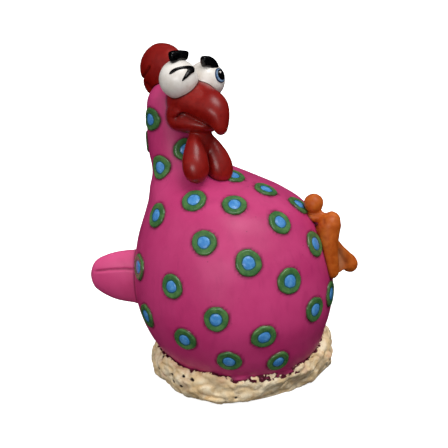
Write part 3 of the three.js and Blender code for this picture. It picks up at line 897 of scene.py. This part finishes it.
def towards(azimuth, height):
    """A direction from an eye's centre, in the head's frame, by degrees from straight ahead."""
    a, h = math.radians(azimuth), math.radians(height)
    return np.array([math.sin(a) * math.cos(h), math.cos(a) * math.cos(h), math.sin(h)])


WINK_LID = [  # azimuth and height on the eye in degrees, half width in mm
    (-65, 20, 0.4), (-58, 26, 0.85), (-44, 34.5, 0.85), (-16, 40, 0.8), (8, 38.5, 1.1),
    (26, 34, 0.95), (33, 31, 0.3),
]
WINK_CREASE = [
    (23, 36, 1.3), (12, 32, 1.9), (-1, 25, 1.4), (-14, 14, 0.95), (-24, 4, 0.55), (-27, 0, 0.25),
]


def make_wink(centre):
    """Two tapering strokes that meet at the inner corner."""
    facing = towards(-20, 30) @ head.axes
    strokes = []
    for stroke in (WINK_LID, WINK_CREASE):
        rows = []
        for azimuth, height, width in stroke:
            place = centre + towards(azimuth, height) @ head.axes * (eye_radius + 0.1)
            rows.append([*place, 0.55 * min(1, width + 0.2), width])
        strokes.append(loft(rows, facing, 24, 40))
    wink = sculpt("wink_stroke", strokes, 0.22, 3)
    roughen(wink, 0.06, 1.2, 9)
    return wink


def make_eye_disc(name, centre, axis, angles, lifts):
    """A painted disc on an eyeball: angles from its axis, and how far each stands off the ball."""
    side = unit(np.cross(axis, [0, 0, 1]))
    up = np.cross(side, axis)
    turn = np.linspace(0, 2 * math.pi, EYE_DISC_COUNT, endpoint=False)
    around = np.cos(turn)[:, None] * side + np.sin(turn)[:, None] * up
    rings, rim = [], []
    for angle, lift in zip(angles, lifts):
        a = math.radians(angle)
        wobble = 1 + 0.02 * np.sin(3 * turn + angle / 9)[:, None]
        outward = unit(axis * math.cos(a) + around * math.sin(a) * wobble)
        rings.append(centre + outward * (eye_radius + lift))
        rim += [angle / max(angles)] * EYE_DISC_COUNT
    under = centre + axis * (eye_radius - 1)
    over = centre + axis * (eye_radius + lifts[-1])
    disc = make_object(name, np.vstack([under, *rings, over]), tube_faces(len(rings), EYE_DISC_COUNT))
    store(disc, "rim", np.r_[1, rim, angles[-1] / max(angles)])
    return disc


def make_foot():
    """A heel with a long toe and a short one, webbed, and a round hind toe on a thin neck."""
    long_toe = loft([
        [13.6, 7, 35.4, 2.6, 2.6], [13.5, 6.8, 33.6, 4.4, 4.4], [12.6, 6.2, 30, 6, 6],
        [12.2, 5.4, 25.5, 5.6, 5.6], [12.1, 4.8, 20, 5.3, 5.1], [12.8, 4.8, 14.2, 4.8, 4.6],
        [14, 5.4, 6.8, 4.3, 4.1], [14.8, 5.8, 2.3, 3.6, 3.4], [15.1, 5.9, 0.4, 1.6, 1.6],
    ], [0, 1, 0], 44, 60)
    short_toe = loft([
        [13.6, 6.6, 20.6, 3, 3], [15.6, 8, 18.4, 2.8, 2.8], [19.1, 11.2, 13.8, 2.9, 2.9],
        [23, 14.7, 8.6, 3.6, 3.6], [25.2, 16.5, 4.8, 4.6, 4.6], [26, 17.2, 1.6, 3.6, 3.4],
        [26.3, 17.4, 0, 1.4, 1.4],
    ], [0, 1, 0], 40, 50)
    web = slab([[14.2, 7, 19], [15.6, 6.4, 2], [24.8, 15.8, 3]], 2.6)
    neck = loft([
        [4.8, 9.7, 38.5, 3, 3], [6.2, 9.1, 35.8, 2.2, 2.2], [7.6, 8.5, 34.2, 2, 2],
        [9.4, 7.8, 32.8, 2.6, 2.6], [11.5, 6.8, 31, 4, 4],
    ], [0, 1, 0], 32, 30)
    hind = ball([4.3, 9.8, 39.8], 5.1)
    ankle = loft([[12.3, 7.8, 23.8, 3.4, 4.4], [2.7, 11.4, 23.8, 4.6, 6]], [0, 0, 1], 32, 12)
    root = loft([[9, 8, 32.6, 2.4, 2.8], [2.2, 11.6, 32.2, 3.2, 4.6]], [0, 0, 1], 32, 10)
    parts = (long_toe, short_toe, web, neck, hind, ankle, root)
    foot = sculpt("foot_cast", [foot_frame.shape(p) for p in parts], 0.5, 4)
    points, _ = read_points(foot)
    # How near the web each point is, for the pale painted highlight on it.
    spread = path_distance(points, foot_frame([[16.6, 8.4, 13], [18.6, 10.4, 6.5]]))
    store(foot, "web", hump(spread, 3.4))
    carve(foot, foot_frame([[15.2, 3.2, 17], [16.2, 4, 10], [17, 4.6, 4]]), 0.8, 0.35, 0.4)
    carve(foot, foot_frame([[8.4, 3, 34], [9.2, 2, 31.5]]), 1.2, 0.5, 0.7)
    roughen(foot, 0.14, 3.6, 6)
    return foot


# --- nest and stopper ---

def make_nest():
    """Rough clay pressed up round the body: lumps, folds that overlap, and pits."""
    nest = sculpt("nest_clay", [node_mesh("nest_base")], 0.62, 3)
    points, normals = read_points(nest)
    out = np.hypot(*(points - hub)[:, :2].T)
    resting = step(-0.75, -0.95, normals[:, 2]) * step(1.2, 0.4, points[:, 2])
    free = step(16, 23, out) * (1 - resting)
    tall = points * [1, 1, 1.5]
    lumps = 1.5 * wave(tall, 13, 1) + 0.8 * wave(tall, 6.5, 2)
    bent = points * [1, 1, 1.25] + 3 * wave(points, 9, 3)[:, None]
    fold = np.clip(1 - abs(wave(bent, 10, 4)) * 3.2, 0, 1)
    grain = 0.5 * wave(points, 3.2, 5) + 0.24 * wave(points, 1.5, 6)
    moved = points + normals * ((lumps - 0.8 * fold**2 + grain + 0.35) * free)[:, None]
    turn = np.arctan2(*(moved - hub)[:, 1::-1].T)
    drawn_in = 4.6 * hump(turn + 0.95, 0.6) + 1.6 * hump(turn + 2.5, 0.5)
    outward = (moved - hub) * [1, 1, 0] / np.maximum(out, 1)[:, None]
    moved -= outward * (drawn_in * step(34, 42, out) * step(13, 5, moved[:, 2]))[:, None]
    moved[:, 2] = np.maximum(moved[:, 2], 0)
    write_points(nest, moved)
    # The folds are kept for the brown painted shade in them.
    store(nest, "crease_shade", 0.7 * fold**3 * free)
    dig_pits(nest)
    return nest


def dig_pits(nest):
    """Small air holes in the outer side of the clay, round or drawn out."""
    random = np.random.default_rng(12)
    points, normals = read_points(nest)
    out = np.hypot(*(points - hub)[:, :2].T)
    sides = np.flatnonzero((normals[:, 2] < 0.75) & (out > 40) & (points[:, 2] > 4))
    order = random.permutation(sides)[:PIT_COUNT]
    deep = np.zeros(len(points))
    for centre in points[order]:
        size = random.uniform(0.4, 1.2)
        long = unit(random.normal(size=3)) * size * random.uniform(0, 1.2)
        ends = np.array([centre - long, centre + long + 1e-6])
        deep = np.maximum(deep, hump(path_distance(points, ends), size))
    write_points(nest, points - normals * (1.3 * deep)[:, None])
    # The depth of each hole is kept for the black painted shade in it.
    store(nest, "pit_shade", deep)


def make_stopper():
    """A moulded rubber plug: a flange with a pull recess, a tapered barrel and a hollow top."""
    base, top = stopper_low[2], stopper_high[2]
    hollow, well = 7.5, 5  # radius of the hollow top, and the height of its floor
    profile = [
        [3.4, base + 0.9], [3.9, base + 0.75], [4, base + 0.25], [4.4, base], [flange - 0.6, base],
        [flange - 0.15, base + 0.2], [flange, base + 0.6], [flange, base + 1.2], [flange - 0.2, base + 1.6],
        [flange - 0.6, base + 1.7], [barrel + 0.15, base + 1.7], [barrel, base + 2.2],
    ]
    for groove in range(3):
        z = base + 4 + 2.8 * groove
        profile += [
            [barrel - 0.25, z], [barrel - 0.55, z + 0.4], [barrel - 0.55, z + 0.9], [barrel - 0.3, z + 1.3],
        ]
    profile += [
        [barrel - 0.8, top - 0.5], [barrel - 1.3, top], [hollow + 0.5, top], [hollow, top - 0.4],
        [hollow, well + 0.2], [hollow - 0.4, well],
    ]
    around = circle(STOPPER_COUNT)
    axis = np.array([hub[0], hub[1], 0])
    rings = [axis + around * r + [0, 0, z] for r, z in profile]
    points = np.vstack([axis + [0, 0, base + 0.9], *rings, axis + [0, 0, well]])
    return make_object("stopper_plug", points, tube_faces(len(rings), STOPPER_COUNT))


# --- putting the pieces together ---

body = make_body()
skin = tree_of(body)
spot_enamel = spot_paint()
dots = []
for index, node in enumerate(sorted(n for n in frame["nodes"] if n.startswith("spot_")), 1):
    spot = make_spot(index, node, skin)
    attach(spot, spot_enamel, "spot_green", node)
    dots.append(spot)

wings = {node: make_wing(node) for node in ("wing_right", "wing_left")}
comb = make_comb()
beak = make_beak()
eyes = {
    "eyeball_right": make_eye("eye_right", eye_right, 11),
    "eyeball_left": make_eye("eye_left", eye_left, 12),
}
foot = make_foot()
nest = make_nest()

# Marks where pieces meet, for dark rims in the materials: some paint and dirt at the joins, and painted
# shade.
mark_join_dirt_and_shade(body, [nest, *wings.values(), comb, beak, foot, *eyes.values(), *dots], 0.7)
mark_join_dirt_and_shade(comb, [*eyes.values(), body], 0.6)
mark_join_dirt_and_shade(beak, [*eyes.values(), body], 0.6)
mark_join_dirt_and_shade(nest, [body], 1.5)
mark_join_dirt_and_shade(foot, [body], 0.8)
for eye in eyes.values():
    mark_join_dirt_and_shade(eye, [comb, beak], 0.5)
for wing in wings.values():
    mark_join_dirt_and_shade(wing, [body], 0.8)

attach(body, body_pink, "body_pink", "body_shell")
for node, wing in wings.items():
    attach(wing, wing_pink_lit, "body_pink", node)
attach(comb, red, "head_red", "comb")
attach(beak, red, "head_red", "beak_upper", "beak_lower", "wattle_right", "wattle_left")
for node, eye in eyes.items():
    attach(eye, white, "eye_white", node)
attach(foot, orange_paint(), "foot_orange", "foot")
attach(nest, clay(), "nest_cream", "nest_base")
attach(make_stopper(), rubber(), "stopper_rubber", "stopper", body="stopper")

attach(make_brow("brow_right", [
    [-15, 1.1, 11.4, 0.8, 1.2], [-14.6, 1.2, 11.5, 2, 2.6], [-12.9, 1.4, 12, 2.3, 3],
    [-10.8, 1.5, 12.7, 2.3, 2.5], [-8.2, 1.6, 12.7, 2.2, 2.4], [-6, 1.6, 12.4, 2.2, 2.4],
    [-5, 1.6, 12.1, 2, 2.2], [-4.7, 1.6, 12, 0.8, 1],
]), black, "mark_black", "eyebrow_right")
attach(make_brow("brow_left", [
    [2, 5.2, 9, 0.8, 1], [2.4, 5.2, 9.1, 2, 2.5], [4.4, 5.3, 9.3, 2.2, 2.8], [7, 5.4, 8.6, 2.2, 2.7],
    [9, 5.3, 7.1, 2.2, 2.6], [10.2, 5.1, 5.6, 1.9, 2.2], [10.6, 5, 4.8, 0.8, 0.9],
]), black, "mark_black", "eyebrow_left")
attach(make_wink(eye_right), black, "mark_black", "wink_mark")

iris = make_eye_disc(
    "iris_disc", eye_left, towards(15, 18) @ head.axes,
    angles=[23.4, 23, 22, 20, 16, 10, 4], lifts=[-0.5, 0.1, 0.32, 0.42, 0.44, 0.42, 0.4],
)
attach(iris, iris_paint(), "iris_blue", "iris")
pupil = make_eye_disc(
    "pupil_disc", eye_left, towards(17, 19.5) @ head.axes,
    angles=[16.6, 16, 15, 11, 5, 1], lifts=[-0.2, 0.46, 0.66, 0.78, 0.86, 0.88],
)
attach(pupil, black, "mark_black", "pupil")
# A small white disc on the pupil: a painted glint.
glint = make_eye_disc(
    "glint_disc", eye_left, towards(11, 26) @ head.axes,
    angles=[3.4, 3, 1.6, 0.6], lifts=[0.5, 0.92, 1, 1.02],
)
attach(glint, white, "eye_white")


# --- floor, light and camera ---

def soft_sun(name, toward, spread, power, mirrored=True):
    """Light from a wide patch of sky in the direction toward. Gloss paint shows it if mirrored."""
    light = bpy.data.lights.new(name, "SUN")
    light.angle = math.radians(spread)
    light.energy = power
    obj = bpy.data.objects.new(name, light)
    obj.rotation_euler = (-Vector(toward)).to_track_quat("-Z", "Y").to_euler()
    obj.visible_glossy = mirrored
    bpy.context.scene.collection.objects.link(obj)


def soft_box(name, place, aim, width, height, power):
    """A lit panel at place, turned to aim."""
    light = bpy.data.lights.new(name, "AREA")
    light.shape = "RECTANGLE"
    light.size = width
    light.size_y = height
    light.energy = power
    obj = bpy.data.objects.new(name, light)
    obj.location = place
    obj.rotation_euler = (Vector(aim) - Vector(place)).to_track_quat("-Z", "Y").to_euler()
    bpy.context.scene.collection.objects.link(obj)


def make_floor():
    """A white sheet that only the camera sees, so that it throws no light back at the hen."""
    corners = [
        [side_x * FLOOR_HALF, side_y * FLOOR_HALF, -FLOOR_DROP]
        for side_x, side_y in ((-1, -1), (1, -1), (1, 1), (-1, 1))
    ]
    floor = make_object("floor", corners, [(0, 1, 2, 3)])
    floor.data.materials.append(floor_paper())
    floor.visible_diffuse = False
    floor.visible_glossy = False


def white_backdrop():
    """A white world that only the camera sees, so that the lamps alone light the hen."""
    world = bpy.data.worlds.new("studio")
    bpy.context.scene.world = world
    world.use_nodes = True
    background = world.node_tree.nodes["Background"]
    background.inputs["Color"].default_value = (1, 1, 1, 1)
    background.inputs["Strength"].default_value = 1.05
    world.cycles_visibility.diffuse = False
    world.cycles_visibility.glossy = False


def place_camera():
    """Looks at the hen from in front, a little from above."""
    lens = bpy.data.cameras.new("camera")
    lens.lens = LENS
    lens.sensor_width = SENSOR
    camera = bpy.data.objects.new("camera", lens)
    camera.location = CAMERA_PLACE
    camera.rotation_euler = (math.radians(90 - LOOK_DOWN), 0, 0)
    bpy.context.scene.collection.objects.link(camera)
    bpy.context.scene.camera = camera


make_floor()
white_backdrop()
soft_sun("sky", (0, 0, 1), 150, 1.6, mirrored=False)
soft_sun("key", (0.3, -0.42, 1), 34, 1.5)
soft_sun("back", (0.1, 1, 0.7), 60, 0.5, mirrored=False)
soft_sun("left", (-1, -0.5, 0.3), 70, 0.55, mirrored=False)
soft_sun("right", (1, -0.6, 0.3), 70, 0.3, mirrored=False)
soft_sun("low", (0, -1, -0.1), 80, 0.15, mirrored=False)
soft_box("front", (-0.2, -0.72, 0.22), (0, 0, 0.12), 0.34, 0.14, 1.3)
place_camera()
bpy.context.scene.view_settings.view_transform = "Standard"
